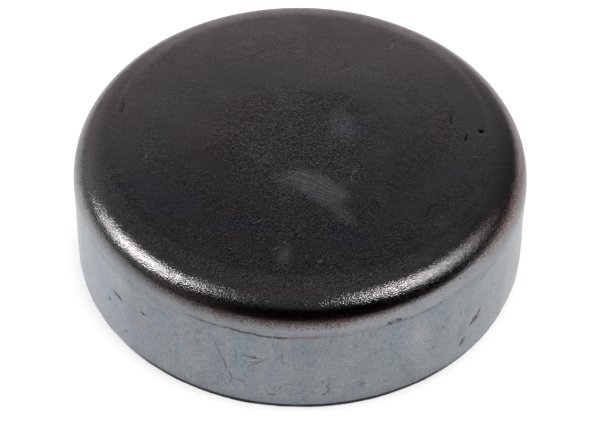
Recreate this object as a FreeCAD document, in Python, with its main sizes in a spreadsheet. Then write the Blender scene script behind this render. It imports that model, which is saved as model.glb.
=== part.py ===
# Butt-weld pipe cap: one deep-drawn steel pressing, open end down.
#
# A flat-topped, very slightly crowned lid turns through a large rounded
# shoulder into a straight cylindrical skirt. The wall has one thickness
# throughout, so every inner surface is the outer one offset by the wall.
# The open lip is flat and square to the axis; its outer edge is barely rounded and
# its inner edge broken, so that it sits on the pipe end or a bench.
#
# Frame: millimetres, +Z is the axis of revolution and points up through the
# closed end. The origin is the centre of the lip plane (the lowest plane).
import FreeCAD, Part
import math
import os
import Sketcher

V = FreeCAD.Vector
doc = FreeCAD.newDocument("pipe_cap")

# ---------------------------------------------------------------- dimensions
sheet = doc.addObject("Spreadsheet::Sheet", "Dimensions")
rows = [
    # alias, value, meaning
    ("outer_radius", "54.0", "outside of the skirt, 108 mm pipe"),
    ("wall", "4.0", "sheet thickness, constant"),
    ("skirt_height", "24.6", "straight skirt, lip to the start of the shoulder"),
    ("shoulder_radius", "10.0", "outside radius of the rounded shoulder"),
    ("total_height", "35.0", "lip plane to the top of the crown"),
    ("lip_round", "0.3", "rounding of the outer lip edge"),
    ("lip_break", "0.5", "broken inner lip edge"),
]
for i, (alias, value, meaning) in enumerate(rows, start=1):
    sheet.set("A%d" % i, alias)
    sheet.set("B%d" % i, value)
    sheet.set("C%d" % i, meaning)
    sheet.setAlias("B%d" % i, alias)
doc.recompute()


def dim(alias):
    return float(sheet.get(alias))


# ------------------------------------------------- starting values, from cells
ro = dim("outer_radius")
wall = dim("wall")
zs = dim("skirt_height")
rs = dim("shoulder_radius")
ht = dim("total_height")

ri = ro - wall
xs = ro - rs                       # centre of the shoulder arc, from the axis
rise = ht - zs - rs                # how far the crown stands above the shoulder
drop = rs + rise
rc = (xs * xs + drop * drop - rs * rs) / (2.0 * rise)   # crown, tangent to it
zc = ht - rc                       # centre of the crown arc, on the axis
turn = math.atan2(zs - zc, xs)     # where shoulder and crown meet

# ------------------------------------------------------------------ the body
body = doc.addObject("PartDesign::Body", "cap_shell")
body.Label = "cap_shell"


def origin_plane(owner, role):
    for feature in owner.Origin.OriginFeatures:
        if feature.Role == role:
            return feature
    raise RuntimeError("no plane " + role)


sketch = body.newObject("Sketcher::SketchObject", "half_section")
sketch.AttachmentSupport = [(origin_plane(body, "XZ_Plane"), "")]
sketch.MapMode = "FlatFace"
doc.recompute()

UP = V(0, 0, 1)


def line(x1, z1, x2, z2):
    return sketch.addGeometry(Part.LineSegment(V(x1, z1, 0), V(x2, z2, 0)), False)


def arc(cx, cz, radius, a0, a1):
    return sketch.addGeometry(
        Part.ArcOfCircle(Part.Circle(V(cx, cz, 0), UP, radius), a0, a1), False)


half = math.pi / 2.0
outer_wall = line(ro, 0, ro, zs)
outer_shoulder = arc(xs, zs, rs, 0.0, turn)
outer_crown = arc(0, zc, rc, turn, half)
axis_edge = line(0, ht, 0, ht - wall)
inner_crown = arc(0, zc, rc - wall, turn, half)
inner_shoulder = arc(xs, zs, rs - wall, 0.0, turn)
inner_wall = line(ri, zs, ri, 0)
lip = line(ri, 0, ro, 0)

START, END, CENTRE = 1, 2, 3
H_AXIS, V_AXIS, ORIGIN = -1, -2, (-1, 1)


def add(*values):
    return sketch.addConstraint(Sketcher.Constraint(*values))


# the loop: smooth joints are tangent, corners are plain
add("Tangent", outer_wall, END, outer_shoulder, START)
add("Tangent", outer_shoulder, END, outer_crown, START)
add("Coincident", outer_crown, END, axis_edge, START)
add("Coincident", axis_edge, END, inner_crown, END)
add("Tangent", inner_crown, START, inner_shoulder, END)
add("Tangent", inner_shoulder, START, inner_wall, START)
add("Coincident", inner_wall, END, lip, START)
add("Coincident", lip, END, outer_wall, START)
# where it lies
add("Vertical", outer_wall)
add("Vertical", inner_wall)
add("PointOnObject", lip, START, H_AXIS)
add("PointOnObject", lip, END, H_AXIS)
add("PointOnObject", axis_edge, START, V_AXIS)
add("PointOnObject", axis_edge, END, V_AXIS)
add("PointOnObject", outer_crown, CENTRE, V_AXIS)
# constant wall: the inner arcs share the outer arcs' centres
add("Coincident", inner_crown, CENTRE, outer_crown, CENTRE)
add("Coincident", inner_shoulder, CENTRE, outer_shoulder, CENTRE)


def bound(name, expression, *values):
    index = add(*values)
    sketch.renameConstraint(index, name)
    sketch.setExpression("Constraints." + name, expression)


bound("outside", "Dimensions.outer_radius",
      "DistanceX", ORIGIN[0], ORIGIN[1], outer_wall, START, ro)
bound("sheet_thickness", "Dimensions.wall",
      "DistanceX", lip, START, lip, END, wall)
bound("straight_skirt", "Dimensions.skirt_height",
      "DistanceY", outer_wall, START, outer_wall, END, zs)
bound("shoulder", "Dimensions.shoulder_radius",
      "Radius", outer_shoulder, rs)
bound("overall_height", "Dimensions.total_height",
      "DistanceY", ORIGIN[0], ORIGIN[1], outer_crown, END, ht)
doc.recompute()
if sketch.solve() != 0:
    raise RuntimeError("half_section does not solve")
print("half_section fully constrained:", sketch.FullyConstrained)

drawn = body.newObject("PartDesign::Revolution", "drawn_shell")
drawn.Profile = sketch
drawn.ReferenceAxis = (sketch, ["V_Axis"])
drawn.Angle = 360.0
sketch.Visibility = False
doc.recompute()


def lip_edge(shape, radius):
    """Name of the circular edge of this radius in the lip plane."""
    for n, edge in enumerate(shape.Edges, start=1):
        box = edge.BoundBox
        if abs(box.ZMin) < 1e-4 and abs(box.ZMax) < 1e-4 \
                and abs(box.XMax - radius) < 1e-3:
            return "Edge%d" % n
    raise RuntimeError("no lip edge of radius %g" % radius)


rounded = body.newObject("PartDesign::Fillet", "outer_lip_round")
rounded.Base = (drawn, [lip_edge(drawn.Shape, ro)])
rounded.Radius = dim("lip_round")
rounded.setExpression("Radius", "Dimensions.lip_round")
doc.recompute()

broken = body.newObject("PartDesign::Chamfer", "inner_lip_break")
broken.Base = (rounded, [lip_edge(rounded.Shape, ri)])
broken.Size = dim("lip_break")
broken.setExpression("Size", "Dimensions.lip_break")
body.Tip = broken
body.Placement = FreeCAD.Placement(V(0, 0, 0), FreeCAD.Rotation())
doc.recompute()

# ------------------------------------------------------------------- checks
for obj in doc.Objects:
    if "Invalid" in obj.State or "Error" in obj.State:
        raise RuntimeError("%s is %s" % (obj.Name, obj.State))

subparts = [body]
for part in subparts:
    shape = part.Shape
    if shape.isNull() or not shape.isValid():
        raise RuntimeError(part.Label + " has no valid shape")
    if len(shape.Solids) != 1:
        raise RuntimeError(part.Label + " is not one solid")
    box = shape.optimalBoundingBox(False)
    print("%s: %.1f mm3, box x %.3f..%.3f y %.3f..%.3f z %.3f..%.3f" % (
        part.Label, shape.Volume, box.XMin, box.XMax, box.YMin, box.YMax,
        box.ZMin, box.ZMax))

os.makedirs("parts", exist_ok=True)
for part in subparts:
    part.Shape.exportStep("parts/%s.step" % part.Label)
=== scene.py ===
# Looks of the pressed steel pipe cap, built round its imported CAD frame.
# All geometry and all marks are in millimetres in the comments and tables
# below, in the CAD frame (+Z up, z 0 at the lip), and in metres in Blender.
import math

import bpy
import numpy as np
from mathutils import Matrix, Quaternion, Vector


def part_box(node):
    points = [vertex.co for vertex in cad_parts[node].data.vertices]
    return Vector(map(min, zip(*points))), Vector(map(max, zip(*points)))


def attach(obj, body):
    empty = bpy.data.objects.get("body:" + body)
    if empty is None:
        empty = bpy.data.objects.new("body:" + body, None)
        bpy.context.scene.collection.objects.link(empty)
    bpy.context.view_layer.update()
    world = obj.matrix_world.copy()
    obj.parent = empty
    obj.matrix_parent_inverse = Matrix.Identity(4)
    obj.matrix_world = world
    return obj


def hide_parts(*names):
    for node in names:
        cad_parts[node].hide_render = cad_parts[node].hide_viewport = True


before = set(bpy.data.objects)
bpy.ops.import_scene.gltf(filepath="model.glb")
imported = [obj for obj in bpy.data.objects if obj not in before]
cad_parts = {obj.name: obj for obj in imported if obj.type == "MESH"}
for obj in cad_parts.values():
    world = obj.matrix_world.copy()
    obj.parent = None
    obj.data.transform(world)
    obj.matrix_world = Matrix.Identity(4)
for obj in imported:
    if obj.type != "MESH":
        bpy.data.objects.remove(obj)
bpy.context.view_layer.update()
node_lo, node_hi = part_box("cap_shell")

# ------------------------------------------------------------------ dimensions
R_OUT = 54.0          # outside of the skirt
WALL = 4.0
Z_LINE = 24.6         # skirt meets shoulder
R_SHO = 10.0          # outside shoulder radius
HEIGHT = round(node_hi.z * 1000.0, 3)     # 35.0
LIP_ROUND = 0.3
LIP_BREAK = 0.5
XS = R_OUT - R_SHO
RISE = HEIGHT - Z_LINE - R_SHO
R_CROWN = (XS * XS + (R_SHO + RISE) ** 2 - R_SHO ** 2) / (2.0 * RISE)
Z_CROWN = HEIGHT - R_CROWN
TURN = math.atan2(Z_LINE - Z_CROWN, XS)


# --------------------------------------------------------------- smooth noises
def waves(seed, wavelength, spread=0.5, count=40):
    """A smooth random field of points (n, 3) in mm, about -1..1, made of sines."""
    rng = np.random.default_rng(seed)
    d = rng.normal(size=(count, 3))
    d /= np.linalg.norm(d, axis=1)[:, None]
    k = 2 * np.pi / (wavelength * (1 + spread * (rng.random(count) * 2 - 1)))
    ph = rng.random(count) * 2 * np.pi
    q = d * k[:, None]

    def field(p):
        out = np.zeros(len(p))
        for i in range(count):
            out += np.sin(p @ q[i] + ph[i])
        return out / math.sqrt(count / 2.0) / 1.6
    return field


def smooth(a, b, x):
    t = np.clip((x - a) / (b - a), 0, 1)
    return t * t * (3 - 2 * t)


# ------------------------------------------------------------- the profile line
def arc_points(cx, cz, r, a0, a1, n):
    a = np.linspace(a0, a1, n + 1)
    return np.stack([cx + r * np.cos(a), cz + r * np.sin(a), np.cos(a), np.sin(a)], 1)


def line_points(x0, z0, x1, z1, nx, nz, n):
    t = np.linspace(0, 1, n + 1)
    return np.stack([x0 + (x1 - x0) * t, z0 + (z1 - z0) * t,
                     np.full(n + 1, nx), np.full(n + 1, nz)], 1)


N0 = 576              # segments round the outside; it halves six times


def outer_profile():
    rows = []
    rows.append(line_points(R_OUT - WALL + LIP_BREAK, 0, R_OUT - LIP_ROUND, 0, 0, -1, 6)[:-1])
    rows.append(arc_points(R_OUT - LIP_ROUND, LIP_ROUND, LIP_ROUND, -math.pi / 2, 0, 4)[:-1])
    rows.append(line_points(R_OUT, LIP_ROUND, R_OUT, 22.9, 1, 0, 38)[:-1])
    rows.append(line_points(R_OUT, 22.9, R_OUT, Z_LINE, 1, 0, 10)[:-1])
    rows.append(arc_points(XS, Z_LINE, R_SHO, 0, math.radians(8), 8)[:-1])
    rows.append(arc_points(XS, Z_LINE, R_SHO, math.radians(8), TURN, 26)[:-1])
    out = np.concatenate(rows)
    return out


def crown_rings(r_crown, r_start, step0):
    """Rings of a crown from r_start inward to the axis: (radius, how much coarser)."""
    rings = []
    r, level = r_start, 0
    while r > 1.2:
        rings.append((r, level))
        if r / r_start < 0.5 ** (level + 1):
            level += 1
        r -= step0 * 1.02
    return rings


verts, faces, face_mat, vert_info = [], [], [], []


def add_ring(r, z, nr, nz, n, kind):
    a = np.arange(n) * (2 * math.pi / n)
    base = len(verts)
    ca, sa = np.cos(a), np.sin(a)
    for i in range(n):
        verts.append((r * ca[i], r * sa[i], z))
        vert_info.append((nr * ca[i], nr * sa[i], nz, kind))
    return base, n


def bridge(lower, upper, mat):
    (b0, n0), (b1, n1) = lower, upper
    if n0 == n1:
        for i in range(n0):
            j = (i + 1) % n0
            faces.append((b0 + i, b0 + j, b1 + j, b1 + i))
            face_mat.append(mat)
    else:                                   # n0 is twice n1
        for i in range(n1):
            j = (i + 1) % n1
            p, q, s = b0 + 2 * i, b0 + 2 * i + 1, b0 + (2 * i + 2) % n0
            faces.append((p, q, b1 + i))
            faces.append((q, s, b1 + j, b1 + i))
            face_mat.extend((mat, mat))


OUT, IN, LIP, LID = 0, 1, 2, 3
prof = outer_profile()
SPLIT = Z_LINE + R_SHO * math.sin(math.radians(8))      # skirt material below, lid material above
first = None
last = None
step = 2 * math.pi * R_OUT / N0
for k, (r, z, nr, nz) in enumerate(prof):
    ring = add_ring(r, z, nr, nz, N0, OUT if z > 0.08 else LIP)
    if last is None:
        first = ring
    else:
        bridge(last, ring, LID if z > SPLIT + 0.01 else OUT if z > 0.12 else LIP)
    last = ring
r0 = R_CROWN * math.cos(TURN)
for r, level in crown_rings(R_CROWN, r0, step):
    a = math.acos(r / R_CROWN)
    ring = add_ring(r, Z_CROWN + R_CROWN * math.sin(a), math.cos(a), math.sin(a),
                    N0 >> level, OUT)
    bridge(last, ring, LID)
    last = ring
verts.append((0, 0, HEIGHT))
vert_info.append((0, 0, 1, OUT))
top = len(verts) - 1
for i in range(last[1]):
    faces.append((last[0] + i, last[0] + (i + 1) % last[1], top))
    face_mat.append(LID)

# inside: from the lip's inner break up and in, normals facing the cavity
N1 = N0 // 2
ri = R_OUT - WALL
inner_rows = [
    np.array([[ri, LIP_BREAK, -1, 0]]),
    line_points(ri, LIP_BREAK, ri, Z_LINE, -1, 0, 22)[1:-1],
    arc_points(XS, Z_LINE, R_SHO - WALL, 0, TURN, 9)[:-1] * np.array([1, 1, -1, -1]),
]
inner = np.concatenate(inner_rows)
# the first inner ring has half the outer ring's points, so the break is a 2:1 band
last = first
inner_rings = []
for k, (r, z, nr, nz) in enumerate(inner):
    ring = add_ring(r, z, nr, nz, N1, IN)
    bridge(last, ring, LIP if k == 0 else IN)
    last = ring
rin = (R_CROWN - WALL) * math.cos(TURN)
for r, level in crown_rings(R_CROWN - WALL, rin, step * 2):
    a = math.acos(r / (R_CROWN - WALL))
    ring = add_ring(r, Z_CROWN + (R_CROWN - WALL) * math.sin(a), -math.cos(a), -math.sin(a),
                    N1 >> level, IN)
    bridge(last, ring, IN)
    last = ring
verts.append((0, 0, HEIGHT - WALL))
vert_info.append((0, 0, -1, IN))
under = len(verts) - 1
for i in range(last[1]):
    faces.append((last[0] + i, last[0] + (i + 1) % last[1], under))
    face_mat.append(IN)

P = np.array(verts, float)
INFO = np.array(vert_info, float)
NRM, KIND = INFO[:, :3], INFO[:, 3]
rad = np.hypot(P[:, 0], P[:, 1])
phi = np.arctan2(P[:, 0], -P[:, 1])          # 0 at the front (-Y), + towards +X
phid = np.degrees(phi)
theta = np.degrees(np.arctan2(np.maximum(P[:, 2] - Z_LINE, 0), np.maximum(rad - XS, 1e-6)))
outside = KIND == OUT

# die line: its height above the lip, measured round the front, and its depth
line_phi = np.array([-180, -110, -70, -50, -35, -21, -13, -9, -4, 2, 9, 14, 21, 28, 35, 45, 60, 90, 130, 180.])
line_z = np.array([24.4, 24.5, 24.3, 24.0, 23.8, 24.5, 24.3, 24.0, 23.8, 24.2, 24.1, 24.3, 24.5, 24.6, 25.0, 25.5, 25.2, 24.7, 24.3, 24.4])
line_d = np.array([.01, .012, .006, .002, .004, .018, .055, .08, .085, .055, .025, .015, .008, .010, .010, .003, .002, .004, .006, .01])
lz = np.interp(phid, line_phi, line_z)
ld = np.interp(phid, line_phi, line_d)

disp = np.zeros(len(P))
# the bend starts gradually: its curvature comes in over 2.8 mm, not at a line
ease = np.clip(P[:, 2] - Z_LINE + 1.4, 0, 2.8)
soft_start = ease ** 2 / 40.0 - np.clip(P[:, 2] - Z_LINE, 0, 1.4) ** 2 / 20.0
disp -= soft_start * (1 - smooth(10, 50, theta)) * outside
# slow unevenness of a drawn blank: the lid is not a perfect plane
slow = waves(11, 46.0)(P) * 0.055 + waves(12, 21.0)(P) * 0.016
lid = smooth(20, 80, theta) * outside
disp += slow * (0.25 + 0.75 * lid) * outside
# the foot of the skirt is sprung out a little on both sides, so it is not quite round
sprung = np.exp(-((np.abs(phid) - 86.0) / 15.0) ** 2) * (0.50 + 0.12 * np.sign(phid))
disp += sprung * smooth(17, 3, P[:, 2]) * (rad > 53.0)
disp -= 0.12 * np.exp(-((np.abs(phid) - 90.0) / 22.0) ** 2) * np.exp(-((P[:, 2] - 23.0) / 6.0) ** 2) * outside
# pebbled grain that the mesh can carry, finer grain is in the material
peb = waves(13, 2.4)(P) * 0.0075 + waves(14, 1.55)(P) * 0.0035
disp += peb * (0.16 + 0.74 * smooth(24, 44, theta) - 0.55 * smooth(50, 80, theta)) * outside
# drawing streaks down the skirt
col = np.stack([phi * R_OUT / 1.0, P[:, 2] * 0.06, 0 * phi], 1)
streak = waves(15, 3.1)(np.stack([R_OUT * np.cos(phi), R_OUT * np.sin(phi), P[:, 2] * 0.05], 1))
disp += streak * 0.0045 * (theta < 5) * outside
# the die line: a shallow groove with the shoulder side standing a hair proud
dz = P[:, 2] - lz
wob = waves(16, 5.0)(P) * 0.12
near = (theta < 14) & outside & (P[:, 2] > 18)
groove = np.exp(-((dz + wob) / 0.22) ** 2)
disp -= near * ld * groove
disp += near * ld * 0.30 * np.exp(-((dz + wob - 0.75) / 0.7) ** 2)
# small dents and gouges: (phi deg, z, half length u, half width z, turn deg, depth)
for p0, z0, lu, lw, turn, depth in (
        (-49.6, 15.7, 2.1, 0.55, -4, 0.10), (-53.5, 11.4, 0.5, 0.35, 0, 0.06),
        (-40.0, 16.7, 0.9, 0.45, 0, 0.08), (-47.2, 5.4, 0.9, 0.4, 8, 0.06),
        (48.2, 10.4, 1.3, 0.8, 12, 0.10), (44.3, 5.6, 0.6, 1.0, 0, 0.06),
        (37.5, 15.9, 0.45, 0.45, 0, 0.07), (32.7, 14.1, 0.7, 0.5, 0, 0.04),
        (118.0, 9.0, 2.4, 0.5, 18, 0.08), (-128.0, 13.0, 1.6, 0.5, -30, 0.07),
        (168.0, 17.0, 1.1, 0.5, 40, 0.06), (-160.0, 6.0, 1.8, 0.5, -8, 0.07),
        (84.0, 13.5, 1.2, 0.45, 70, 0.05), (-88.0, 7.0, 1.4, 0.5, 20, 0.05)):
    u = (np.mod(phi - math.radians(p0) + math.pi, 2 * math.pi) - math.pi) * R_OUT
    w = P[:, 2] - z0
    t = math.radians(turn)
    du, dw = u * math.cos(t) + w * math.sin(t), -u * math.sin(t) + w * math.cos(t)
    q = (du / lu) ** 2 + (dw / lw) ** 2
    disp -= depth * np.exp(-q * 1.1) * (theta < 5) * outside
    disp += depth * 0.22 * np.exp(-(np.sqrt(q) - 1.7) ** 2 * 3.0) * (theta < 5) * outside
# a pair of touching pits on the die line
for p0, z0 in ((21.5, 25.05), (23.0, 25.1)):
    u = (phi - math.radians(p0)) * R_OUT
    q = (u / 0.5) ** 2 + ((P[:, 2] - z0) / 0.5) ** 2
    disp -= 0.09 * np.exp(-q) * outside
# lid: pinhole and nicks (x, y, half length, half width, turn deg, depth)
for x0, y0, lu, lw, turn, depth in (
        (42.3, 1.6, 0.45, 0.45, 0, 0.16), (38.6, -0.9, 1.5, 0.35, 90, 0.05),
        (-42.5, 8.0, 2.6, 0.4, 86, 0.05), (35.4, 5.6, 2.6, 0.35, 92, 0.03),
        (11.0, 24.0, 1.2, 0.5, 30, 0.03), (-20.0, -25.0, 1.0, 0.6, 60, 0.025)):
    t = math.radians(turn)
    u, w = P[:, 0] - x0, P[:, 1] - y0
    du, dw = u * math.cos(t) + w * math.sin(t), -u * math.sin(t) + w * math.cos(t)
    q = (du / lu) ** 2 + (dw / lw) ** 2
    disp -= depth * np.exp(-q) * (theta > 60) * outside
# sheared lip: slightly wavy, with a faint rolled burr on the outside
burr = waves(17, 9.0)(P) * 0.05 + waves(18, 3.0)(P) * 0.02
disp += burr * smooth(1.6, 0.2, P[:, 2]) * (rad > 53.0) * (P[:, 2] > 0.02)
# inside: coarser scale and soft wrinkles where the skirt was drawn in
insidem = KIND == IN
disp += (waves(19, 3.4)(P) * 0.02 + waves(20, 30.0)(P) * 0.05) * insidem
wr = waves(21, 7.0)(np.stack([R_OUT * np.cos(phi), R_OUT * np.sin(phi), P[:, 2] * 0.1], 1))
disp += wr * 0.035 * insidem * smooth(2, 12, P[:, 2]) * (1 - smooth(20, 27, P[:, 2]))

P = P + NRM * disp[:, None]
P[:, 2] = np.maximum(P[:, 2], 0.0)           # it stands on its lip

mesh = bpy.data.meshes.new("cap_shell_skin")
mesh.from_pydata([tuple(v) for v in (P / 1000.0)], [], faces)
mesh.polygons.foreach_set("material_index", face_mat)
mesh.polygons.foreach_set("use_smooth", [True] * len(faces))
mesh.validate()
mesh.update()
cap = bpy.data.objects.new("cap_shell_skin", mesh)
bpy.context.scene.collection.objects.link(cap)
import bmesh
bm = bmesh.new()
bm.from_mesh(mesh)
bmesh.ops.recalc_face_normals(bm, faces=bm.faces)
bm.to_mesh(mesh)
bm.free()
print("cap mesh: %d vertices, %d faces" % (len(mesh.vertices), len(mesh.polygons)))


# ------------------------------------------------------------------- materials
class Nodes:
    """Short names for the shader nodes used below."""

    def __init__(self, tree):
        self.t = tree

    def new(self, kind, **props):
        n = self.t.nodes.new(kind)
        for k, v in props.items():
            setattr(n, k, v)
        return n

    def put(self, socket, value):
        if isinstance(value, bpy.types.NodeSocket):
            self.t.links.new(value, socket)
        elif value is not None:
            socket.default_value = value

    def math(self, op, a, b=None, c=None, clamp=False):
        n = self.new("ShaderNodeMath", operation=op)
        for i, v in enumerate((a, b, c)):
            if v is not None:
                self.put(n.inputs[i], v)
        if not clamp:
            return n.outputs[0]
        k = self.new("ShaderNodeClamp")
        self.put(k.inputs["Value"], n.outputs[0])
        return k.outputs[0]

    def add(self, a, b): return self.math("ADD", a, b)
    def sub(self, a, b): return self.math("SUBTRACT", a, b)
    def mul(self, a, b): return self.math("MULTIPLY", a, b)
    def maxi(self, a, b): return self.math("MAXIMUM", a, b)

    def vmath(self, op, a, b=None, scale=None, out=0):
        n = self.new("ShaderNodeVectorMath", operation=op)
        self.put(n.inputs[0], a)
        if b is not None:
            self.put(n.inputs[1], b)
        if scale is not None:
            self.put(n.inputs["Scale"], scale)
        return n.outputs[out]

    def ramp(self, x, a, b, lo=0.0, hi=1.0, kind="SMOOTHSTEP"):
        n = self.new("ShaderNodeMapRange", interpolation_type=kind, clamp=kind == "LINEAR")
        self.put(n.inputs["Value"], x)
        n.inputs["From Min"].default_value = a
        n.inputs["From Max"].default_value = b
        n.inputs["To Min"].default_value = lo
        n.inputs["To Max"].default_value = hi
        return n.outputs[0]

    def noise(self, vec, scale, detail=2.0, rough=0.5, distort=0.0, color=False, dims="3D"):
        n = self.new("ShaderNodeTexNoise", noise_dimensions=dims)
        self.put(n.inputs["Vector"], vec)
        n.inputs["Scale"].default_value = scale
        n.inputs["Detail"].default_value = detail
        n.inputs["Roughness"].default_value = rough
        n.inputs["Distortion"].default_value = distort
        return n.outputs["Color" if color else "Fac"]

    def voronoi(self, vec, scale, feature="F1", out="Distance", rand=1.0):
        n = self.new("ShaderNodeTexVoronoi", feature=feature)
        self.put(n.inputs["Vector"], vec)
        n.inputs["Scale"].default_value = scale
        n.inputs["Randomness"].default_value = rand
        return n.outputs[out]

    def mix(self, fac, a, b, mode="MIX"):
        n = self.new("ShaderNodeMix", data_type="RGBA", blend_type=mode, clamp_factor=True)
        self.put(n.inputs[0], fac)
        for i, v in ((6, a), (7, b)):
            if isinstance(v, tuple):
                v = tuple(v) + (1.0,) if len(v) == 3 else v
            self.put(n.inputs[i], v)
        return n.outputs[2]

    def fmix(self, fac, a, b):
        n = self.new("ShaderNodeMix", data_type="FLOAT", clamp_factor=True)
        self.put(n.inputs[0], fac)
        self.put(n.inputs[2], a)
        self.put(n.inputs[3], b)
        return n.outputs[0]

    def combine(self, x, y, z):
        n = self.new("ShaderNodeCombineXYZ")
        for i, v in enumerate((x, y, z)):
            self.put(n.inputs[i], v)
        return n.outputs[0]

    def separate(self, v):
        n = self.new("ShaderNodeSeparateXYZ")
        self.put(n.inputs[0], v)
        return n.outputs[0], n.outputs[1], n.outputs[2]


def spot(N, p, cx, cy, rx, ry, turn=0.0, drop=0.0):
    """A spherical gradient squeezed to an ellipse: 1 at its centre less drop, 0 at its rim."""
    n = N.new("ShaderNodeTexGradient", gradient_type="SPHERICAL")
    N.put(n.inputs["Vector"], p)
    t = n.texture_mapping
    t.vector_type = "TEXTURE"
    t.translation = (cx, cy, drop)
    t.rotation = (0.0, 0.0, math.radians(turn))
    t.scale = (rx, ry, 1.0)
    return n.outputs["Fac"]


def strokes(N, p, rows):
    """Narrow tapered strokes (x0, y0, x1, y1, half width, strength), the strongest at p."""
    out = None
    for x0, y0, x1, y1, width, strength in rows:
        length = math.hypot(x1 - x0, y1 - y0)
        m = spot(N, p, (x0 + x1) / 2, (y0 + y1) / 2, length * 0.66 + width, width * 2.1,
                 math.degrees(math.atan2(y1 - y0, x1 - x0)), 1.0 - strength * 0.62)
        out = m if out is None else N.maxi(out, m)
    return N.ramp(out, 0.0, 0.5)


def blob(N, p, x, y, rx, ry, turn=0.0, soft=1.0):
    """A soft ellipse, 1 at its centre."""
    return N.ramp(spot(N, p, x, y, rx, ry, turn), 0.0, soft)


def base_material(name):
    m = bpy.data.materials.new(name)
    m.use_nodes = True
    m.node_tree.nodes.clear()
    N = Nodes(m.node_tree)
    out = N.new("ShaderNodeOutputMaterial")
    bsdf = N.new("ShaderNodeBsdfPrincipled")
    m.node_tree.links.new(bsdf.outputs[0], out.inputs[0])
    coord = N.new("ShaderNodeTexCoord").outputs["Object"]
    mm = N.vmath("SCALE", coord, scale=1000.0)
    return m, N, bsdf, mm


def around(N, deg, stops, lo=0.0, hi=1.0):
    """A value that follows the angle round the cap: stops of (degrees, value)."""
    t = N.math("DIVIDE", N.add(deg, 180.0), 360.0)
    n = N.new("ShaderNodeFloatCurve")
    cm = n.mapping
    pts = [((d + 180.0) / 360.0, (v - lo) / (hi - lo)) for d, v in stops]
    cm.curves[0].points[0].location = pts[0]
    cm.curves[0].points[1].location = pts[-1]
    for px_, py_ in pts[1:-1]:
        cm.curves[0].points.new(px_, py_)
    for q in cm.curves[0].points:
        q.handle_type = "AUTO_CLAMPED"
    cm.update()
    N.put(n.inputs["Value"], t)
    return N.add(N.mul(n.outputs[0], hi - lo), lo)


def outside_start(name):
    """What the two outside materials share: places on the cap, and the mottling."""
    mat, N, bsdf, mm = base_material(name)
    N.mm, N.bsdf = mm, bsdf
    x, y, z = N.separate(mm)
    N.x, N.y, N.z = x, y, z
    N.flat = N.combine(x, y, 0.0)
    N.r = N.vmath("LENGTH", N.flat, out=1)
    ang = N.math("ARCTAN2", x, N.mul(y, -1.0))           # 0 at the front
    N.u = N.mul(ang, R_OUT)
    N.deg = N.mul(ang, 180.0 / math.pi)
    N.th = N.mul(N.math("ARCTAN2", N.maxi(N.sub(z, Z_LINE), 0.0), N.maxi(N.sub(N.r, XS), 0.0001)),
                 180.0 / math.pi)
    N.mid = N.noise(mm, 0.22, 3.0, 0.6)
    N.small = N.noise(mm, 0.9, 2.0, 0.6)
    return mat, N


def band_colour(N):
    """The pale band of shoulder between the die line and the black."""
    c = N.mix(N.ramp(N.mid, 0.35, 0.7), (0.287, 0.297, 0.311), (0.256, 0.267, 0.281))
    # lighter and bluer on the left: partly a bluer tint of the scale, partly painted light on the side where the
    # light falls
    left = around(N, N.deg, ((-180, 0), (-115, 0), (-78, .5), (-56, .5), (-40, 0), (180, 0)))
    c = N.mix(left, c, (0.345, 0.356, 0.374))
    return N.mix(N.ramp(N.small, 0.56, 0.78, 0.0, 0.30), c, (0.185, 0.178, 0.180))


BAND_ROUGH = 0.25


# ------------------------------------------- outside, the skirt up to the shoulder
mat_skirt, N = outside_start("black_scale_skirt")
mm, th, z = N.mm, N.th, N.z
unrolled = N.combine(N.u, z, 0.0)
on_skirt = N.ramp(th, 4.0, 0.5)
drag = N.vmath("MULTIPLY", unrolled, (1.0, 0.06, 1.0))
n_drag = N.noise(drag, 0.30, 4.0, 0.6)
n_drag2 = N.noise(drag, 1.7, 2.0, 0.6)
n_big = N.noise(mm, 0.055, 2.0, 0.55)
weave_a = N.noise(N.vmath("MULTIPLY", unrolled, (3.0, 0.45, 1.0)), 1.0, 1.0, 0.5)
weave_b = N.noise(N.vmath("MULTIPLY", unrolled, (0.45, 3.0, 1.0)), 1.0, 1.0, 0.5)

c = N.mix(N.ramp(n_big, 0.35, 0.65), (0.196, 0.232, 0.262), (0.224, 0.245, 0.264))
c = N.mix(N.ramp(n_drag, 0.38, 0.68, 0.0, 0.85), c, (0.268, 0.282, 0.296))
c = N.mix(N.ramp(N.mid, 0.50, 0.76, 0.0, 0.8), c, (0.150, 0.180, 0.205))
c = N.mix(N.ramp(n_drag2, 0.5, 0.85, 0.0, 0.4), c, (0.180, 0.202, 0.226))
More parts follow.
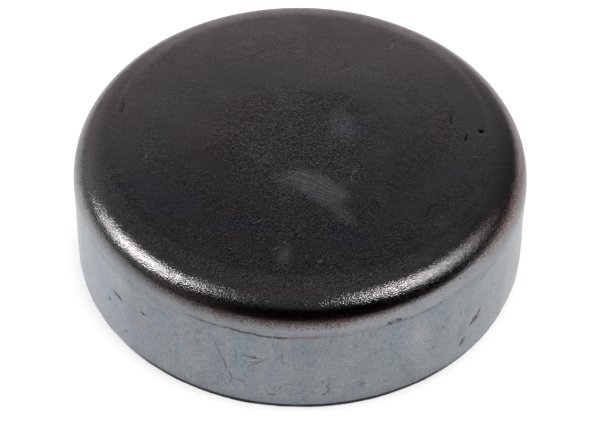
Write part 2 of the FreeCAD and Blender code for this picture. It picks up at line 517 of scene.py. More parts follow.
# soft tempering tints: bluer to the left, warm grey and greenish patches to the right
for bx, bz, rx, rz, tint, amount in (
        (-53, 13, 13, 14, (0.204, 0.256, 0.350), 0.75), (-40, 8, 8, 9, (0.225, 0.240, 0.315), 0.5),
        (-33, 19, 9, 6, (0.200, 0.235, 0.290), 0.4), (-10, 12, 12, 8, (0.196, 0.232, 0.250), 0.5),
        (4, 19, 12, 5, (0.175, 0.200, 0.225), 0.45), (12, 14, 5, 9, (0.245, 0.262, 0.272), 0.6), (28.5, 17, 5, 8, (0.318, 0.318, 0.330), 0.8),
        (-47, 21, 9, 6, (0.318, 0.330, 0.352), 0.8), (48.5, 21, 4, 5, (0.300, 0.310, 0.322), 0.7),
        (20, 12, 5, 11, (0.204, 0.240, 0.246), 0.6), (25.5, 6, 3, 7, (0.172, 0.180, 0.200), 0.6),
        (36, 12, 5, 12, (0.248, 0.262, 0.276), 0.5), (43, 16, 2.5, 8, (0.205, 0.222, 0.245), 0.5), (48, 13, 8, 12, (0.235, 0.250, 0.262), 0.5),
        (58, 13, 6, 14, (0.176, 0.190, 0.204), 0.7),
        (95, 12, 14, 12, (0.196, 0.232, 0.300), 0.5), (-100, 12, 16, 12, (0.250, 0.250, 0.260), 0.5),
        (140, 8, 12, 10, (0.205, 0.235, 0.235), 0.5), (-145, 14, 15, 9, (0.190, 0.225, 0.290), 0.5)):
    c = N.mix(N.mul(blob(N, unrolled, bx, bz, rx, rz), amount), c, tint)
# lighter and bluer on the left: partly a bluer tint of the scale, partly painted light on the side where the light
# falls
c = N.mix(around(N, N.deg, ((-180, 0), (-115, 0), (-78, .32), (-54, .32), (-42, 0), (180, 0))), c, (0.300, 0.326, 0.372))
grime = N.add(N.mul(N.sub(weave_a, 0.5), 0.75), N.mul(N.sub(weave_b, 0.5), 0.75))
grime = N.add(grime, N.mul(N.sub(N.noise(mm, 4.6, 0.0, 0.5), 0.5), 1.3))
c = N.mix(N.ramp(grime, 0.0, -0.45, 0.0, 0.66, "LINEAR"), c, (0.125, 0.138, 0.155))
c = N.mix(N.ramp(grime, 0.0, 0.45, 0.0, 0.62, "LINEAR"), c, (0.330, 0.345, 0.360))
c = N.mix(N.ramp(th, 0.5, 7.5), c, band_colour(N))

# marks, in unrolled millimetres (round the front, up)
wob = N.vmath("SUBTRACT", N.noise(mm, 0.9, 1.0, 0.5, color=True), (0.5, 0.5, 0.5))
p_sk = N.vmath("MULTIPLY", N.vmath("ADD", unrolled, N.vmath("SCALE", wob, scale=1.0)), (1, 1, 0))
cuts = strokes(N, p_sk, (
    (-48.6, 16.0, -45.3, 15.6, 0.50, 1.0), (-50.6, 11.2, -50.2, 11.6, 0.34, 0.9),
    (-38.4, 16.8, -37.0, 16.7, 0.34, 1.0), (-45.1, 5.2, -43.8, 5.5, 0.32, 0.8),
    (47.5, 12.9, 46.7, 11.3, 0.42, 0.9), (46.9, 11.2, 44.8, 10.1, 0.80, 1.0), (45.4, 10.3, 43.9, 10.0, 0.40, 0.8),
    (42.4, 7.0, 41.5, 5.0, 0.62, 0.85), (20.2, 25.0, 21.3, 25.1, 0.50, 1.0), (22.0, 25.3, 23.2, 25.0, 0.45, 1.0), (35.2, 16.0, 35.4, 15.8, 0.36, 0.9),
    (32.7, 10.4, 32.9, 10.2, 0.34, 0.8), (-26.6, 2.8, -26.2, 1.8, 0.3, 0.5),
    (109.0, 9.2, 113.4, 8.6, 0.36, 0.9), (-122.5, 13.6, -119.5, 12.2, 0.36, 0.9),
    (157.0, 17.6, 159.2, 16.2, 0.32, 0.9), (-152.4, 6.3, -149.4, 5.8, 0.34, 0.8),
    (79.2, 15.2, 78.4, 11.8, 0.28, 0.8), (-84.0, 7.4, -81.6, 6.6, 0.3, 0.8)))
lines = strokes(N, p_sk, (
    (-18.7, 19.6, -17.0, 14.4, 0.15, 0.8), (-17.3, 15.2, -15.4, 9.6, 0.15, 1.0),
    (-15.4, 10.2, -14.6, 7.6, 0.18, 1.0), (-14.7, 7.9, -15.2, 5.2, 0.14, 0.7),
    (-15.0, 8.0, -11.1, 7.6, 0.14, 0.8), (-13.1, 16.6, -6.7, 16.1, 0.14, 0.8),
    (-6.7, 16.3, -11.2, 12.6, 0.16, 1.0), (-11.4, 15.9, -7.4, 16.3, 0.13, 0.7),
    (-11.9, 14.1, -8.7, 14.9, 0.13, 0.6), (-12.1, 18.8, -9.8, 19.2, 0.15, 0.5),
    (-13.6, 16.9, -13.4, 13.6, 0.13, 0.5), (-14.8, 13.9, -12.4, 13.6, 0.12, 0.5),
    (-5.4, 6.8, -4.3, 5.5, 0.14, 0.9), (-4.3, 5.5, -3.1, 7.7, 0.13, 0.9), (-5.4, 6.8, -3.9, 7.4, 0.12, 0.6),
    (-24.8, 8.2, -25.1, 1.3, 0.16, 0.5), (-20.4, 4.4, -17.4, 3.9, 0.14, 0.6),
    (-3.1, 21.4, -3.1, 12.9, 0.13, 0.6), (7.7, 8.6, 6.7, 7.3, 0.15, 0.9),
    (6.7, 7.3, 7.5, 6.3, 0.16, 1.0), (7.5, 6.3, 6.8, 4.9, 0.16, 1.0),
    (6.8, 4.9, 5.4, 4.2, 0.18, 1.0), (-6.9, 4.3, -3.3, 4.4, 0.15, 0.9),
    (-1.9, 4.2, -0.1, 4.7, 0.13, 0.6), (-2.9, 8.0, -0.2, 8.3, 0.12, 0.7),
    (4.6, 8.5, 7.2, 8.8, 0.12, 0.6), (12.0, 7.3, 15.6, 7.6, 0.12, 0.7),
    (14.6, 7.0, 15.6, 6.5, 0.13, 0.9), (15.6, 6.4, 13.8, 6.1, 0.12, 0.7),
    (9.6, 13.6, 12.4, 13.1, 0.12, 0.5), (0.0, 9.4, 1.8, 8.9, 0.12, 0.5),
    (23.6, 8.0, 27.5, 8.8, 0.12, 0.5), (29.4, 15.4, 30.6, 13.4, 0.13, 0.5),
    (39.6, 19.5, 41.0, 15.0, 0.13, 0.6), (49.5, 17.5, 47.4, 14.0, 0.15, 0.5),
    (-32.0, 12.0, -29.0, 11.6, 0.12, 0.5), (-22.5, 14.0, -20.8, 13.7, 0.13, 0.6),
    (-30.0, 21.0, -27.0, 14.0, 0.11, 0.4), (21.5, 15.5, 21.9, 10.0, 0.11, 0.4),
    (96.0, 18.0, 101.0, 6.0, 0.16, 0.8), (-101.0, 17.0, -96.0, 15.5, 0.15, 0.7),
    (136.0, 12.0, 131.0, 5.5, 0.16, 0.8), (-135.0, 20.0, -139.0, 9.0, 0.15, 0.7),
    (65.0, 8.0, 71.0, 9.2, 0.14, 0.6), (-66.0, 20.0, -64.5, 11.0, 0.14, 0.6),
    (-160.0, 16.0, -166.0, 14.0, 0.15, 0.7), (151.0, 4.0, 156.0, 4.9, 0.14, 0.7)))
broken = N.ramp(N.noise(mm, 2.2, 1.0, 0.5), 0.30, 0.56, 0.35, 1.0)
cuts = N.mul(cuts, broken)
lines = N.mul(lines, broken)

# stray hairlines, scale pits, rust beside the gouges
hair_b = N.vmath("MULTIPLY", N.combine(N.sub(N.u, N.mul(z, 0.2)), z, 7.0), (0.14, 0.9, 1.0))
hair = N.ramp(N.voronoi(hair_b, 0.6, "DISTANCE_TO_EDGE"), 0.016, 0.003)
hair_a = N.vmath("MULTIPLY", N.combine(N.add(N.u, N.mul(z, 0.35)), z, 3.0), (1.1, 0.16, 1.0))
hair = N.maxi(hair, N.ramp(N.voronoi(hair_a, 0.6, "DISTANCE_TO_EDGE"), 0.018, 0.003))
hair = N.mul(hair, N.ramp(N.add(N.noise(mm, 0.17, 2.0, 0.6), N.ramp(z, 15.0, 7.0, 0.0, 0.07)), 0.50, 0.66, 0.0, 0.50))
low = N.mul(N.ramp(z, 9.0, 3.0), N.ramp(N.mid, 0.40, 0.60))
pit = N.ramp(N.voronoi(mm, 0.85), 0.20, 0.07)
pit = N.mul(pit, N.ramp(N.noise(mm, 0.25, 2.0, 0.5), 0.50, 0.64, 0.0, 0.6))
stain = N.maxi(N.maxi(blob(N, unrolled, -46.6, 15.5, 3.2, 1.3, -5), N.mul(blob(N, unrolled, -40.6, 16.0, 2.4, 1.2), 0.7)),
               N.maxi(N.mul(blob(N, unrolled, 30.8, 14.1, 1.1, 1.0), 0.8),
                      N.mul(blob(N, unrolled, -38.5, 13.6, 2.6, 1.4, 20), 0.5)))
stain = N.maxi(stain, N.maxi(N.mul(blob(N, unrolled, 111.0, 8.0, 4.0, 1.6), 0.7),
                             N.mul(blob(N, unrolled, -121.0, 12.0, 3.4, 1.6), 0.7)))
stain = N.mul(stain, N.ramp(N.small, 0.3, 0.6, 0.25, 1.0))

# the die line: dark to the left of the front, rusty at the middle, faint to the right
line_at = around(N, N.deg, list(zip(line_phi, line_z)), 23.0, 26.0)
dz = N.math("ABSOLUTE", N.add(N.sub(z, line_at), N.mul(N.sub(N.noise(mm, 0.5, 2.0, 0.6), 0.5), 0.9)))
strength = around(N, N.deg, ((-180, .25), (-120, .4), (-70, .1), (-45, .06), (-30, .22), (-22, .60), (-14, .95),
                             (-5, 1.0), (-2, .60), (3, .25), (12, .10), (22, .20), (34, .42), (45, .2), (70, .06),
                             (120, .35), (180, .25)))
die = N.mul(N.mul(N.ramp(dz, 0.50, 0.14), strength), N.mul(N.add(N.mul(broken, 0.75), 0.25), N.ramp(N.mid, 0.40, 0.54, 0.40, 1.0)))
rust_at = around(N, N.deg, ((-180, .2), (-150, .0), (-90, .5), (-60, .1), (-25, .1), (-8, .25), (-3, .75),
                            (4, .9), (9, .5), (14, .15), (24, .1), (60, .3), (100, .1), (150, .5), (180, .2)))
rust = N.mul(N.mul(N.ramp(dz, 1.15, 0.1), rust_at), N.ramp(N.small, 0.32, 0.62, 0.15, 1.0))

c = N.mix(N.mul(stain, 0.85), c, (0.300, 0.200, 0.150))
c = N.mix(N.mul(rust, 0.75), c, (0.205, 0.140, 0.110))
c = N.mix(N.mul(N.maxi(lines, hair), 0.82), c, (0.060, 0.052, 0.056))
dark = N.maxi(cuts, N.maxi(pit, N.mul(die, 0.9)))
c = N.mix(dark, c, (0.040, 0.030, 0.030))
# darker towards the lip, heaviest at the front: from about 4.5 mm down, painted shade for the shaded floor that the
# skirt mirrors by its foot; over the last millimetre, the dark sheared edge together with a painted contact shadow
edge_and_contact_shade_at = around(N, N.deg, ((-180, .6), (-120, .5), (-75, .1), (-50, .1), (-42, .35), (-34, .95), (0, 1.0), (30, 1.0),
                            (38, .7), (45, .25), (75, .0), (120, .5), (180, .6)))
c = N.mix(N.mul(N.ramp(z, 4.5, 0.6, 0.0, 0.30), edge_and_contact_shade_at), c, (0.085, 0.090, 0.105))
# near black over the last millimetre: dark sheared edge and painted contact shadow
edge_and_contact_shade = N.mul(N.ramp(N.add(z, N.mul(N.sub(N.mid, 0.5), 0.4)), 1.28, 0.92), edge_and_contact_shade_at)
c = N.mix(N.mul(edge_and_contact_shade, 0.94), c, (0.006, 0.006, 0.007))
N.put(N.bsdf.inputs["Base Color"], c)
marks = N.maxi(dark, N.mul(lines, 0.7))
N.put(N.bsdf.inputs["Metallic"], N.math("SUBTRACT", 1.0, N.maxi(N.mul(dark, 0.2), N.mul(stain, 0.22))))
rough = N.add(N.fmix(on_skirt, BAND_ROUGH, 0.29), N.mul(N.sub(N.mid, 0.5), 0.10))
rough = N.fmix(N.maxi(N.mul(marks, 0.6), N.mul(stain, 0.6)), rough, 0.6)
N.put(N.bsdf.inputs["Roughness"], rough)
grain = N.mul(N.sub(N.noise(mm, 1.8, 1.0, 0.5), 0.5), 0.022)
grain = N.add(grain, N.mul(N.mul(N.sub(weave_a, 0.5), 0.012), on_skirt))
height = N.sub(grain, N.mul(N.maxi(cuts, N.mul(lines, 0.6)), 0.03))
bump = N.new("ShaderNodeBump")
bump.inputs["Strength"].default_value = 1.0
bump.inputs["Distance"].default_value = 0.001
N.put(bump.inputs["Height"], height)
N.put(N.bsdf.inputs["Normal"], bump.outputs[0])

# --------------------------------------------------- outside, the shoulder and lid
mat_lid, N = outside_start("black_scale_lid")
mm, th, flat = N.mm, N.th, N.flat
on_lid = N.ramp(th, 30.0, 75.0)
black = N.mix(N.ramp(N.mid, 0.3, 0.7), (0.240, 0.216, 0.228), (0.208, 0.186, 0.197))
black = N.mix(N.ramp(th, 64.0, 42.0), black, (0.232, 0.227, 0.230))

# tempering tints on the lid
tint_noise = N.ramp(N.mid, 0.25, 0.65)
# painted shade: a near-black band low on the shoulder at the front, where the steel mirrors the dark room by the
# camera
dark_band_at = around(N, N.deg, ((-180, .4), (-90, .3), (-55, .1), (-30, .2), (-16, .35), (-9, .55), (-2, 1.0), (13, 1.0), (21, .45),
                               (30, .2), (60, .3), (110, .5), (180, .4)))
painted_dark_band = N.mul(N.mul(N.ramp(th, 17.0, 25.0), N.ramp(th, 42.0, 34.0)), dark_band_at)
for bx, by, rx, ry, turn, tint, amount in (
        (-30, -22, 17, 10, -10, (0.140, 0.164, 0.238), 1.0),
        (-14, -30, 13, 7, 0, (0.145, 0.164, 0.232), 0.9),
        (9, -34, 11, 5, 0, (0.146, 0.156, 0.240), 0.9),
        (14, 3, 6, 5, 0, (0.195, 0.190, 0.290), 0.8),
        (-22, -2, 9, 8, 30, (0.285, 0.195, 0.210), 0.7),
        (-10, -6, 6, 5, 0, (0.245, 0.222, 0.170), 0.6),
        (-13, 10, 6, 6, 0, (0.275, 0.205, 0.190), 0.45),
        (-40, 6, 6, 9, 0, (0.260, 0.205, 0.185), 0.5),
        (34, 3, 7, 12, 0, (0.255, 0.215, 0.180), 0.65),
        (36, -14, 9, 7, 20, (0.200, 0.196, 0.240), 0.4),
        (22, -20, 9, 10, 0, (0.180, 0.210, 0.190), 0.55),
        (33, -30, 8, 5, 0, (0.240, 0.190, 0.200), 0.4),
        (8, -30, 5, 3, 0, (0.146, 0.156, 0.240), 0.9), (6, 10, 18, 8, 0, (0.130, 0.117, 0.123), 0.8),
        (10, 30, 22, 10, 0, (0.250, 0.222, 0.226), 0.5)):
    b = N.mul(N.mul(blob(N, flat, bx, by, rx, ry, turn), on_lid), N.mul(tint_noise, amount))
    black = N.mix(b, black, tint)

# painted shade: darker from the back towards the front, for the dimmer reflection at the front of the lid
black = N.mix(N.mul(N.mul(N.ramp(N.y, 42.0, 10.0, 0.0, 0.22), N.ramp(N.x, -46.0, -14.0, 0.15, 1.0)), N.ramp(th, 56.0, 76.0)), black, (0.020, 0.018, 0.019))

# brown stretch of shoulder on the right, another out of sight at the back
brown_at = around(N, N.deg, ((-180, .1), (-140, .35), (-110, .05), (0, 0.0), (40, 0.0), (50, .2), (58, .55),
                             (66, .9), (76, .85), (84, .5), (100, .45), (118, .15), (150, 0.0), (180, .1)))
brown = N.mul(N.mul(brown_at, N.mul(N.ramp(th, 14.0, 24.0), N.ramp(th, 66.0, 42.0))),
              N.ramp(N.mid, 0.2, 0.6, 0.55, 1.0))
black = N.mix(brown, black, (0.178, 0.110, 0.100))

# ragged, speckled brown fringe where the pale band meets the black; it lies lower
# round the right-hand side
# painted shade: the shoulder band that mirrors the dark room is coloured near black here
black = N.mix(N.mul(painted_dark_band, 0.93), black, (0.030, 0.026, 0.024))
speck_n = N.noise(mm, 2.6, 1.0, 0.6)
ragged = N.add(N.add(N.mul(N.sub(N.small, 0.5), 14.0), N.mul(N.sub(N.mid, 0.5), 12.0)),
               N.mul(N.sub(speck_n, 0.5), 40.0))
lower = around(N, N.deg, ((-180, 5), (-140, 7), (-105, 6), (-92, 3), (-80, -4), (-70, -8), (-60, -8.5), (-48, -8.5),
                          (-38, -6), (-30, -6), (-15, -5), (0, -1.5), (10, -2), (20, -4.5), (32, -8), (45, -9.5), (60, -11),
                          (70, -11), (80, -6.5), (90, 1), (105, 4), (120, 4), (150, 6), (180, 5)), -12.0, 10.0)
th_r = N.add(N.add(th, ragged), lower)
fringe_at = around(N, N.deg, ((-180, .4), (-130, .7), (-90, .3), (-60, .12), (-46, .15), (-38, .5), (-30, .9),
                              (-20, .95), (-8, 1.0), (6, 1.0), (14, .75), (24, .5), (36, .3), (44, .22), (52, .6),
                              (60, .85), (72, .7), (90, .25), (130, .12), (160, .4), (180, .4)))
bloom = N.mul(N.mul(N.ramp(th_r, 4.0, 17.0), N.ramp(th_r, 32.0, 22.0)), fringe_at)
c = N.mix(N.mul(bloom, 0.75), band_colour(N), (0.194, 0.146, 0.138))
c = N.mix(N.ramp(th_r, 17.0, 28.0), c, black)
fringe = N.mul(N.mul(N.ramp(th_r, 14.0, 21.0), N.ramp(th_r, 33.0, 24.0)), fringe_at)
c = N.mix(N.mul(fringe, 0.92), c, (0.140, 0.082, 0.072))

# leathery grain: short wrinkles, dark in the troughs and pale on the tops, partly grain tone and partly painted shade
# and highlight on the wrinkles; a little stronger to the front
wr_p = N.vmath("MULTIPLY", mm, (0.55, 1.0, 1.0))
g1 = N.noise(wr_p, 4.9, 0.0, 0.5, 0.3)
g2 = N.noise(mm, 4.0, 0.0, 0.5)
ridge = N.sub(N.fmix(N.ramp(th, 46.0, 74.0), g2, g1), 0.5)
lively = N.ramp(N.y, 42.0, -34.0, 0.34, 1.0)
lively = N.mul(lively, N.mul(N.ramp(th, 9.0, 28.0), N.add(1.0, N.mul(N.mul(N.ramp(th, 32.0, 42.0), N.ramp(th, 72.0, 56.0)), -0.25))))
lively = N.mul(lively, N.mul(N.add(1.0, N.mul(painted_dark_band, -0.8)), N.ramp(N.math("ABSOLUTE", N.x), 10.0, 32.0, 1.0, 0.72)))
c = N.mix(N.mul(N.ramp(ridge, 0.0, -0.20, 0.0, 0.85, "LINEAR"), lively), c, (0.055, 0.050, 0.053))
c = N.mix(N.mul(N.ramp(ridge, 0.02, 0.20, 0.0, 0.72, "LINEAR"), lively), c, (0.420, 0.390, 0.408))

# rubbed pale dust: a rippled scuff and smudges
across = N.add(N.add(N.mul(N.x, 0.42), N.mul(N.y, 0.91)), N.mul(N.noise(mm, 0.07, 0.0, 0.5), 11.0))
ripple = N.ramp(N.math("SINE", N.mul(across, 5.0)), -0.6, 0.8)
scuff = N.maxi(N.maxi(blob(N, flat, 2.8, -17.4, 9.2, 5.0, -28, 0.6), blob(N, flat, 6.0, -20.2, 6.6, 5.0, -22, 0.6)),
               N.maxi(N.mul(blob(N, flat, 9.4, -26.4, 7.4, 2.5, -50, 0.8), 0.7), N.mul(blob(N, flat, -4.0, -15.8, 3.8, 2.6, -42), 0.8)))
scuff = N.mul(scuff, N.add(0.62, N.mul(ripple, 0.38)))
smudge = N.maxi(N.mul(blob(N, flat, 9.5, 2.5, 8.5, 5.0, 105), 0.66),
                N.maxi(N.mul(blob(N, flat, -3.3, -39.8, 5.4, 2.4, 71), 0.8),
                       N.mul(blob(N, flat, -18.5, 13.5, 7.0, 3.5), 0.3)))
smudge = N.maxi(smudge, N.mul(blob(N, flat, -9.0, -9.5, 6.0, 1.6, -24), 0.35))
haze = N.ramp(N.noise(mm, 0.12, 4.0, 0.62), 0.50, 0.80, 0.0, 0.20)
dust = N.mul(N.mul(N.maxi(N.maxi(scuff, smudge), haze), N.ramp(N.small, 0.22, 0.60, 0.60, 1.0)), on_lid)

# light dry scratches, pale specks on the grain's peaks that are painted glints, and dark nicks
wob = N.vmath("SUBTRACT", N.noise(mm, 0.5, 1.0, 0.5, color=True), (0.5, 0.5, 0.5))
p_lid = N.vmath("MULTIPLY", N.vmath("ADD", flat, N.vmath("SCALE", wob, scale=1.6)), (1, 1, 0))
light = strokes(N, p_lid, (
    (22.3, 34.1, 22.2, 30.2, 0.09, 0.6), (38.3, -6.9, 42.0, -6.7, 0.07, 0.55),
    (13.6, -8.3, 10.8, -18.5, 0.12, 0.55), (8.8, 32.2, 8.9, 31.9, 0.16, 0.8),
    (-18.3, -31.0, -15.0, -33.2, 0.10, 0.4), (-23.0, 13.8, -17.2, 14.6, 0.12, 0.4),
    (-28.5, 27.8, -24.5, 27.0, 0.12, 0.45), (2.5, -25.0, -1.5, -29.5, 0.10, 0.4),
    (-35.2, -7.0, -36.0, -11.0, 0.14, 0.6), (-6.5, -38.5, -4.2, -37.2, 0.15, 0.6),
    (-1.5, -36.5, -4.5, -35.0, 0.12, 0.45), (-19.0, -33.4, -21.5, -31.0, 0.10, 0.35),
    (3.9, -41.3, 4.9, -40.8, 0.20, 0.9), (-9.9, -29.8, -7.6, -27.9, 0.12, 0.6)))
# painted glints: tiny pale dots, mostly on the grain's peaks
painted_glint = N.ramp(N.voronoi(mm, 0.42), 0.105, 0.03)
painted_glint = N.mul(painted_glint, N.ramp(N.noise(mm, 0.33, 1.0, 0.5), 0.47, 0.56))
light = N.mul(N.maxi(light, N.mul(painted_glint, 0.9)), N.mul(N.ramp(th, 25.0, 60.0), N.ramp(g1, 0.30, 0.50, 0.35, 1.0)))
nicks = strokes(N, p_lid, (
    (38.7, 0.6, 38.5, -2.2, 0.26, 1.0), (35.2, 8.4, 35.5, 2.9, 0.13, 0.7),
    (-42.3, 10.9, -42.8, 4.8, 0.12, 0.75), (34.6, 13.5, 34.9, 9.5, 0.12, 0.4), (9.5, 9.6, 16.0, 9.2, 0.10, 0.3)))
nicks = N.maxi(nicks, blob(N, flat, 42.3, 1.6, 0.78, 0.98, 0, 0.45))
nicks = N.mul(nicks, N.ramp(th, 40.0, 70.0))
c = N.mix(N.mul(dust, 0.36), c, (0.380, 0.368, 0.425))
c = N.mix(N.mul(light, 0.65), c, (0.48, 0.46, 0.49))
c = N.mix(nicks, c, (0.004, 0.003, 0.003))
N.put(N.bsdf.inputs["Base Color"], c)
N.put(N.bsdf.inputs["Metallic"], N.math("SUBTRACT", 1.0, N.maxi(N.mul(dust, 0.020), N.mul(light, 0.16))))
N.bsdf.inputs["Specular Tint"].default_value = (0.78, 0.75, 0.75, 1.0)
rough = N.fmix(N.ramp(th, 44.0, 82.0), 0.080, 0.20)
rough = N.fmix(N.ramp(th, 20.0, 6.0), rough, BAND_ROUGH)
rough = N.add(rough, N.mul(N.sub(N.mid, 0.5), 0.08))
rough = N.fmix(N.maxi(N.mul(dust, 0.3), N.mul(fringe, 0.25)), rough, 0.5)
N.put(N.bsdf.inputs["Roughness"], rough)
g3 = N.noise(mm, 0.8, 1.0, 0.5)
amp = N.mul(N.ramp(th, 22.0, 38.0, 0.12, 1.0), N.ramp(th, 58.0, 84.0, 1.0, 0.30))
amp = N.mul(amp, N.math("SUBTRACT", 1.0, N.maxi(N.mul(dust, 0.5), N.mul(painted_dark_band, 0.6))))
height = N.mul(N.add(N.mul(ridge, 0.057), N.mul(N.sub(g3, 0.5), 0.014)), amp)
height = N.sub(height, N.mul(nicks, 0.03))
bump = N.new("ShaderNodeBump")
bump.inputs["Strength"].default_value = 1.0
bump.inputs["Distance"].default_value = 0.001
N.put(bump.inputs["Height"], height)
N.put(N.bsdf.inputs["Normal"], bump.outputs[0])

# ------------------------------------------------------------- inside of the cap
mat_in, N, bsdf, mm = base_material("black_scale_inside")
a1 = N.noise(mm, 0.10, 4.0, 0.6)
a2 = N.noise(mm, 0.7, 4.0, 0.6)
c = N.mix(N.ramp(a1, 0.35, 0.65), (0.150, 0.146, 0.150), (0.200, 0.205, 0.215))
c = N.mix(N.ramp(a2, 0.60, 0.72, 0.0, 0.7), c, (0.175, 0.110, 0.080))
c = N.mix(N.ramp(N.voronoi(mm, 0.5), 0.16, 0.06, 0.0, 0.8), c, (0.04, 0.03, 0.028))
N.put(bsdf.inputs["Base Color"], c)
N.put(bsdf.inputs["Metallic"], N.ramp(a2, 0.55, 0.75, 0.9, 0.35))
N.put(bsdf.inputs["Roughness"], N.ramp(a2, 0.3, 0.7, 0.38, 0.62))
b = N.new("ShaderNodeBump")
b.inputs["Strength"].default_value = 1.0
b.inputs["Distance"].default_value = 0.001
N.put(b.inputs["Height"], N.add(N.mul(N.noise(mm, 1.6, 3.0, 0.6), 0.05), N.mul(a2, 0.05)))
N.put(bsdf.inputs["Normal"], b.outputs[0])

# --------------------------------------------------------------- the sheared lip
mat_lip, N, bsdf, mm = base_material("sheared_lip")
x, y, z = N.separate(mm)
ang = N.math("ARCTAN2", y, x)
ring = N.combine(N.mul(ang, 54.0), N.mul(N.vmath("LENGTH", N.combine(x, y, 0.0), out=1), 0.15), 0.0)
s1 = N.noise(ring, 1.4, 3.0, 0.6)
s2 = N.noise(mm, 0.35, 3.0, 0.6)
c = N.mix(N.ramp(s1, 0.3, 0.7), (0.110, 0.113, 0.122), (0.200, 0.205, 0.215))
c = N.mix(N.ramp(s2, 0.55, 0.72, 0.0, 0.8), c, (0.160, 0.100, 0.072))
# near black on the outer round of the lip: partly the dark sheared edge, partly painted contact shadow
c = N.mix(N.ramp(N.vmath("LENGTH", N.combine(x, y, 0.0), out=1), 52.9, 53.3), c, (0.020, 0.018, 0.020))
N.put(bsdf.inputs["Base Color"], c)
N.put(bsdf.inputs["Metallic"], N.ramp(s2, 0.5, 0.75, 0.95, 0.5))
N.put(bsdf.inputs["Roughness"], N.ramp(s2, 0.3, 0.7, 0.36, 0.6))
b = N.new("ShaderNodeBump")
b.inputs["Strength"].default_value = 1.0
b.inputs["Distance"].default_value = 0.001
N.put(b.inputs["Height"], N.add(N.mul(s1, 0.04), N.mul(s2, 0.03)))
N.put(bsdf.inputs["Normal"], b.outputs[0])

for m in (mat_skirt, mat_in, mat_lip, mat_lid):
    mesh.materials.append(m)

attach(cap, "root")
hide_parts("cap_shell")

# ---------------------------------------------------------------- studio: floor
DAY = 2.10            # light that falls on the paper and on dull surfaces
fl = bpy.data.meshes.new("studio_floor")
S = 7.0
fl.from_pydata([(-S, -S, 0), (S, -S, 0), (S, S, 0), (-S, S, 0)], [], [(0, 1, 2, 3)])
floor = bpy.data.objects.new("studio_floor", fl)
bpy.context.scene.collection.objects.link(floor)
fm = bpy.data.materials.new("pale_paper")
fm.use_nodes = True
fm.node_tree.nodes.clear()
N = Nodes(fm.node_tree)
out = N.new("ShaderNodeOutputMaterial")
dif = N.new("ShaderNodeBsdfDiffuse")
fm.node_tree.links.new(dif.outputs[0], out.inputs[0])
pos = N.new("ShaderNodeTexCoord").outputs["Object"]
px, py, pz = N.separate(pos)
# seen in the steel, the lit sheet lies round the cap and fades away past it
far = N.vmath("LENGTH", N.vmath("SUBTRACT", pos, (0.100, 0.120, 0.0)), out=1)
fade = N.new("ShaderNodeValToRGB")
els = fade.color_ramp.elements
while len(els) > 1:
    els.remove(els[-1])
for i, (d, v) in enumerate(((0.226, 1.0), (0.264, 0.66), (0.316, 0.40), (0.40, 0.23), (0.53, 0.10), (0.80, 0.02))):
    e = els[0] if i == 0 else els.new(d)
    e.position = d
    e.color = (v, v, v, 1)
N.put(fade.inputs[0], far)
turn = N.mul(N.math("ABSOLUTE", N.math("ARCTAN2", px, N.mul(py, -1.0))), 180.0 / math.pi)
side_gain = N.ramp(turn, 12.0, 50.0, 1.04, 1.10)
in_steel = N.mul(N.mul(fade.outputs[0], side_gain), 1.02 / DAY)
lp = N.new("ShaderNodeLightPath")
paper = N.mix(lp.outputs["Is Glossy Ray"], (0.70, 0.70, 0.70), N.combine(in_steel, in_steel, in_steel))
N.put(dif.inputs["Color"], paper)
glow_n = N.new("ShaderNodeEmission")              # keeps the reflection of the sheet even near the foot
N.put(glow_n.inputs["Strength"], N.mul(in_steel, DAY))
both = N.new("ShaderNodeMixShader")
N.put(both.inputs[0], N.mul(lp.outputs["Is Glossy Ray"], 0.75))
fm.node_tree.links.new(dif.outputs[0], both.inputs[1])
fm.node_tree.links.new(glow_n.outputs[0], both.inputs[2])
fm.node_tree.links.new(both.outputs[0], out.inputs[0])
fl.materials.append(fm)

# ---------------------------------------------------------------- studio: light
world = bpy.data.worlds.new("studio")
bpy.context.scene.world = world
world.use_nodes = True
world.node_tree.nodes.clear()
N = Nodes(world.node_tree)
wout = N.new("ShaderNodeOutputWorld")
direction = N.new("ShaderNodeTexCoord").outputs["Generated"]
dx, dy, dzz = N.separate(direction)
elev = N.mul(N.math("ARCSINE", dzz), 180.0 / math.pi)
azim = N.mul(N.math("ARCTAN2", dx, dy), 180.0 / math.pi)      # 0 at the back, + to the right
e01 = N.math("DIVIDE", N.add(elev, 10.0), 100.0)


def room(stops):
    """Brightness against height above the horizon: [(degrees, brightness)]."""
    n = N.new("ShaderNodeValToRGB")
    n.color_ramp.interpolation = "LINEAR"
    els = n.color_ramp.elements
    while len(els) > 1:
        els.remove(els[-1])
    for i, (deg, v) in enumerate(stops):
        e = els[0] if i == 0 else els.new((deg + 10.0) / 100.0)
        e.position = (deg + 10.0) / 100.0
        e.color = (v, v, v, 1)
    N.put(n.inputs[0], e01)
    return n.outputs[0]


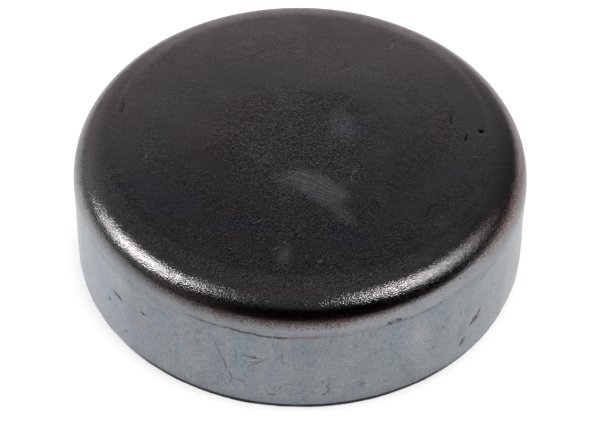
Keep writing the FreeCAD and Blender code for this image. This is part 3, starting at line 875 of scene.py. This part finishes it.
TOP = ((56, .112), (64, .132), (72, .134), (90, .122))
back = room([(-10, .75), (0, .62), (4, .54), (11, .40), (19, .30), (26, .235), (34, .205), (38, .165), (42, .070), (45, .038), (49, .026),
             (54, .045), (60, .080), (68, .110), (76, .120), (90, .122)])
left = room([(-10, .50), (0, .45), (11, .42), (19, .33), (26, .25), (34, .18), (41, .150), (49, .135)] + list(TOP))
right_ = room([(-10, .22), (0, .12), (8, .07), (19, .055), (34, .055), (41, .045), (49, .045)] + list(TOP))
front = room([(-10, .01), (0, .0), (21, .0), (25, .015), (30, .06), (36, .10), (42, .14), (49, .15)] + list(TOP))
glow = N.mix(N.ramp(azim, -44.0, -8.0), left, back)
glow = N.mix(N.ramp(azim, 14.0, 44.0), glow, right_)
glow = N.mix(N.maxi(N.ramp(azim, -84.0, -158.0), N.ramp(azim, 84.0, 118.0)), glow, front)
panel = N.mul(N.mul(N.ramp(N.math("ABSOLUTE", azim), 19.0, 14.0), N.ramp(elev, 38.5, 36.5)),
              N.ramp(elev, 0.0, 38.0, 0.38, 0.27, "LINEAR"))
glow = N.mix(1.0, glow, N.combine(panel, panel, panel), "ADD")
wl = N.new("ShaderNodeLightPath")
# dull light, a little stronger from the back right, so the soft shadow falls front left
lean = N.mul(N.vmath("DOT_PRODUCT", direction, (0.55, 0.78, 0.28), out=1), 0.36)
bg_soft = N.new("ShaderNodeBackground")
bg_soft.inputs["Color"].default_value = (1.0, 1.0, 1.0, 1)
N.put(bg_soft.inputs["Strength"], N.mul(N.add(lean, 1.0), DAY * 0.92))
bg_room = N.new("ShaderNodeBackground")
N.put(bg_room.inputs["Color"], glow)
bg_room.inputs["Strength"].default_value = 1.0
bg_seen = N.new("ShaderNodeBackground")
bg_seen.inputs["Color"].default_value = (1.0, 1.0, 1.0, 1)
bg_seen.inputs["Strength"].default_value = 1.0
m1 = N.new("ShaderNodeMixShader")
N.put(m1.inputs[0], wl.outputs["Is Glossy Ray"])
world.node_tree.links.new(bg_soft.outputs[0], m1.inputs[1])
world.node_tree.links.new(bg_room.outputs[0], m1.inputs[2])
m2 = N.new("ShaderNodeMixShader")
N.put(m2.inputs[0], wl.outputs["Is Camera Ray"])
world.node_tree.links.new(m1.outputs[0], m2.inputs[1])
world.node_tree.links.new(bg_seen.outputs[0], m2.inputs[2])
world.node_tree.links.new(m2.outputs[0], wout.inputs[0])


def softbox(name, az, el, wide, tall, lean_deg, radiance, dist=1.6):
    """az from +Y towards +X, el above the horizon; wide and tall as seen, all in degrees."""
    light = bpy.data.lights.new(name, "AREA")
    light.shape = "RECTANGLE"
    w = 2 * dist * math.tan(math.radians(wide / 2))
    h = 2 * dist * math.tan(math.radians(tall / 2))
    light.size, light.size_y = w, h
    light.energy = radiance * math.pi * w * h      # a one-sided area light's radiance is power / (pi area)
    o = bpy.data.objects.new(name, light)
    bpy.context.scene.collection.objects.link(o)
    a, e = math.radians(az), math.radians(el)
    d = Vector((math.sin(a) * math.cos(e), math.cos(a) * math.cos(e), math.sin(e)))
    o.location = d * dist
    o.rotation_mode = "QUATERNION"
    o.rotation_quaternion = d.to_track_quat("Z", "Y") @ Quaternion((0, 0, 1), math.radians(lean_deg))
    o.visible_camera = False
    return o


softbox("softbox_left", -101, 23.5, 38, 12.5, 19, 6.4)
softbox("softbox_left_tail", -126, 35, 26, 11, 30, 1.8, 1.55)
softbox("softbox_right", 124, 41.6, 37, 12, -10, 2.1)
softbox("softbox_right_core", 128, 40, 22, 8, -10, 3.3, 1.55)
softbox("softbox_right_tail", 101, 37, 34, 14, -12, 0.95, 1.58)
softbox("softbox_right_low", 108, 28.5, 44, 12, -8, 0.55, 1.65)

# ---------------------------------------------------------------------- camera
tilt, dist, tx, ty, roll = 0.78598, 0.41780, 0.0000737, 0.0062700, 0.0182
ce, se = math.cos(tilt), math.sin(tilt)
cam_data = bpy.data.cameras.new("camera")
cam_data.sensor_width = 36.0
cam_data.lens = 1678.45 / 600.0 * 36.0
cam_data.clip_start, cam_data.clip_end = 0.01, 50.0
cam = bpy.data.objects.new("camera", cam_data)
bpy.context.scene.collection.objects.link(cam)
rt0, up0, back0 = Vector((1, 0, 0)), Vector((0, se, ce)), Vector((0, -ce, se))
rt = rt0 * math.cos(roll) + up0 * math.sin(roll)
up = up0 * math.cos(roll) - rt0 * math.sin(roll)
mat = Matrix((rt, up, back0)).transposed().to_4x4()
mat.translation = Vector((tx, ty * se - dist * ce, ty * ce + dist * se))
cam.matrix_world = mat
bpy.context.scene.camera = cam

view = bpy.context.scene.view_settings
view.view_transform = "Standard"
view.look = "None"
view.exposure = 0.0
view.gamma = 1.0
